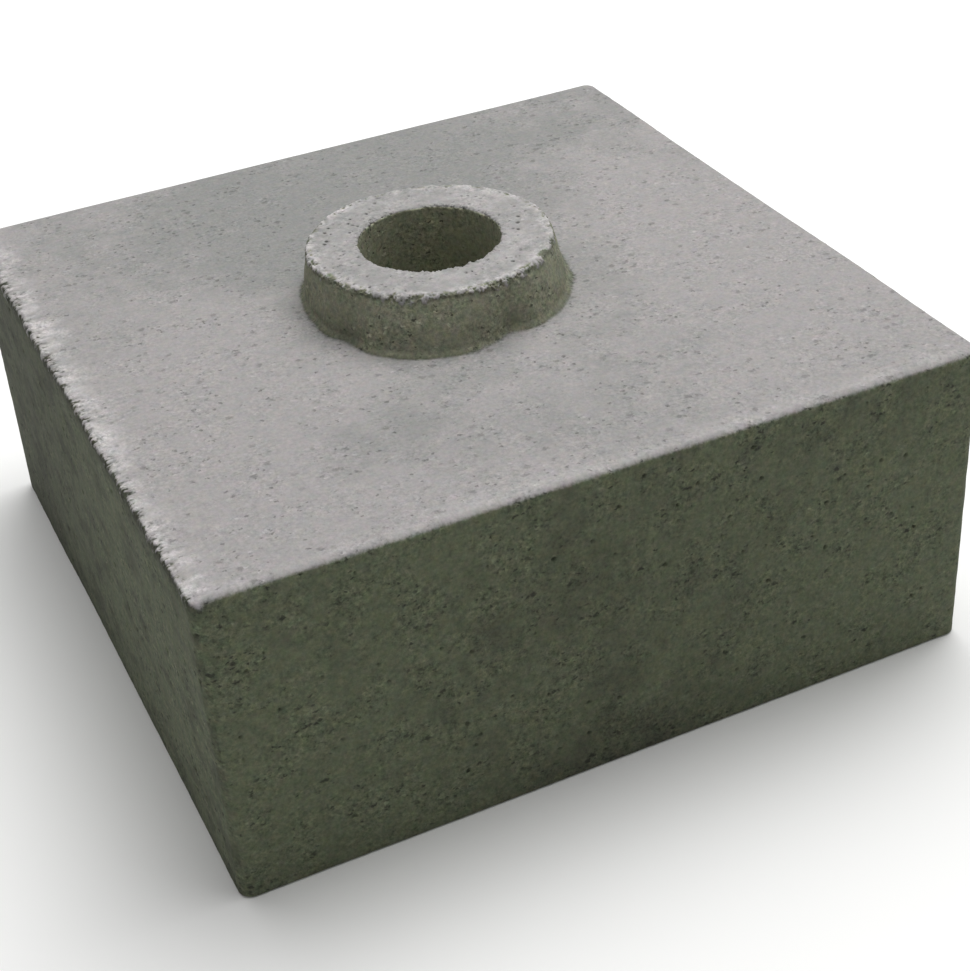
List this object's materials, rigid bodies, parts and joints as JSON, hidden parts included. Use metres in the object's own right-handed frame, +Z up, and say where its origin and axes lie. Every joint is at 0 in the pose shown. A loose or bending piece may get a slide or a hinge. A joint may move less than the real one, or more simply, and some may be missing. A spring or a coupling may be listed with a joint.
{
  "type": "column base block",
  "caption": "Square cast concrete footing block with a low round collar and a straight bore for a round steel post.",
  "frame": {"origin": "middle of the underside, on the axis of the bore", "axes": "+Z up along the bore, front of the block at -Y, its right side at +X"},
  "size_m": [0.35, 0.35, 0.175],
  "materials": {
    "concrete": "pressed concrete, matt, with fine open pores, darker on the moulded sides"
  },
  "bodies": {
    "root": {"base_block": "concrete"}
  },
  "joints": []
}
